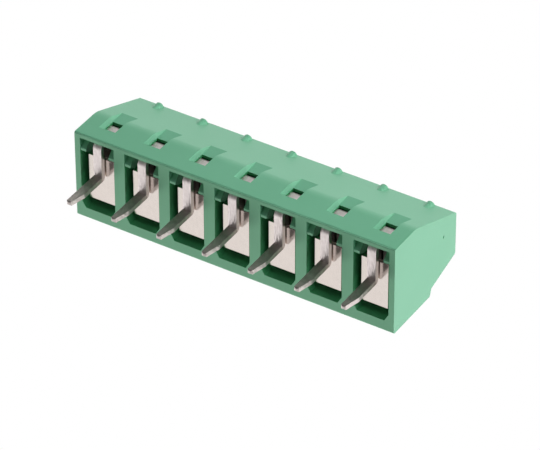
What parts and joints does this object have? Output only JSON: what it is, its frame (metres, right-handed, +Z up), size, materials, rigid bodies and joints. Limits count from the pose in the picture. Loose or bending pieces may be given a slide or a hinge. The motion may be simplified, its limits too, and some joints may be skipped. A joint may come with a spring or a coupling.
{
  "type": "pcb screw terminal",
  "caption": "Row of board-mounted screw terminals in one moulded housing, each with a lifting wire cage, a slotted screw and a bent solder pin.",
  "frame": {"origin": "on the line of the solder pins, at the middle pin, at the level of the board face", "axes": "+Z up from the board; +X along the row; wires go in from -Y; the leaning rear face is at +Y"},
  "size_m": [0.0356, 0.0099, 0.0161],
  "materials": {
    "green_moulding": "satin",
    "tinned_contact": "tin plated",
    "plated_cage": "nickel plated",
    "plated_screw": "zinc plated"
  },
  "bodies": {
    "terminal_row": {"housing": "green_moulding", "contact_1": "tinned_contact", "contact_2": "tinned_contact", "contact_3": "tinned_contact", "contact_4": "tinned_contact", "contact_5": "tinned_contact", "contact_6": "tinned_contact", "contact_7": "tinned_contact"},
    "clamp_1": {"clamp_1": "plated_cage"},
    "screw_1": {"screw_1": "plated_screw"},
    "clamp_2": {"clamp_2": "plated_cage"},
    "screw_2": {"screw_2": "plated_screw"},
    "clamp_3": {"clamp_3": "plated_cage"},
    "screw_3": {"screw_3": "plated_screw"},
    "clamp_4": {"clamp_4": "plated_cage"},
    "screw_4": {"screw_4": "plated_screw"},
    "clamp_5": {"clamp_5": "plated_cage"},
    "screw_5": {"screw_5": "plated_screw"},
    "clamp_6": {"clamp_6": "plated_cage"},
    "screw_6": {"screw_6": "plated_screw"},
    "clamp_7": {"clamp_7": "plated_cage"},
    "screw_7": {"screw_7": "plated_screw"}
  },
  "joints": [
    {"name": "screw_1_turn", "type": "hinge", "parent": "terminal_row", "child": "screw_1", "pos_m": [-0.01524, -0.00067, 0], "axis": [0, 0, -1], "range_deg": [0, 1920]},
    {"name": "clamp_1_lift", "type": "slide", "parent": "terminal_row", "child": "clamp_1", "axis": [0, 0, 1], "range_m": [0, 0.0024]},
    {"name": "screw_2_turn", "type": "hinge", "parent": "terminal_row", "child": "screw_2", "pos_m": [-0.01016, -0.00067, 0], "axis": [0, 0, -1], "range_deg": [0, 1920]},
    {"name": "clamp_2_lift", "type": "slide", "parent": "terminal_row", "child": "clamp_2", "axis": [0, 0, 1], "range_m": [0, 0.0024]},
    {"name": "screw_3_turn", "type": "hinge", "parent": "terminal_row", "child": "screw_3", "pos_m": [-0.00508, -0.00067, 0], "axis": [0, 0, -1], "range_deg": [0, 1920]},
    {"name": "clamp_3_lift", "type": "slide", "parent": "terminal_row", "child": "clamp_3", "axis": [0, 0, 1], "range_m": [0, 0.0024]},
    {"name": "screw_4_turn", "type": "hinge", "parent": "terminal_row", "child": "screw_4", "pos_m": [0, -0.00067, 0], "axis": [0, 0, -1], "range_deg": [0, 1920]},
    {"name": "clamp_4_lift", "type": "slide", "parent": "terminal_row", "child": "clamp_4", "axis": [0, 0, 1], "range_m": [0, 0.0024]},
    {"name": "screw_5_turn", "type": "hinge", "parent": "terminal_row", "child": "screw_5", "pos_m": [0.00508, -0.00067, 0], "axis": [0, 0, -1], "range_deg": [0, 1920]},
    {"name": "clamp_5_lift", "type": "slide", "parent": "terminal_row", "child": "clamp_5", "axis": [0, 0, 1], "range_m": [0, 0.0024]},
    {"name": "screw_6_turn", "type": "hinge", "parent": "terminal_row", "child": "screw_6", "pos_m": [0.01016, -0.00067, 0], "axis": [0, 0, -1], "range_deg": [0, 1920]},
    {"name": "clamp_6_lift", "type": "slide", "parent": "terminal_row", "child": "clamp_6", "axis": [0, 0, 1], "range_m": [0, 0.0024]},
    {"name": "screw_7_turn", "type": "hinge", "parent": "terminal_row", "child": "screw_7", "pos_m": [0.01524, -0.00067, 0], "axis": [0, 0, -1], "range_deg": [0, 1920]},
    {"name": "clamp_7_lift", "type": "slide", "parent": "terminal_row", "child": "clamp_7", "axis": [0, 0, 1], "range_m": [0, 0.0024]}
  ],
  "couplings": [
    {"joint": "screw_1_turn", "follows": "clamp_1_lift", "rad_per_m": 13962},
    {"joint": "screw_2_turn", "follows": "clamp_2_lift", "rad_per_m": 13962},
    {"joint": "screw_3_turn", "follows": "clamp_3_lift", "rad_per_m": 13962},
    {"joint": "screw_4_turn", "follows": "clamp_4_lift", "rad_per_m": 13962},
    {"joint": "screw_5_turn", "follows": "clamp_5_lift", "rad_per_m": 13962},
    {"joint": "screw_6_turn", "follows": "clamp_6_lift", "rad_per_m": 13962},
    {"joint": "screw_7_turn", "follows": "clamp_7_lift", "rad_per_m": 13962}
  ]
}
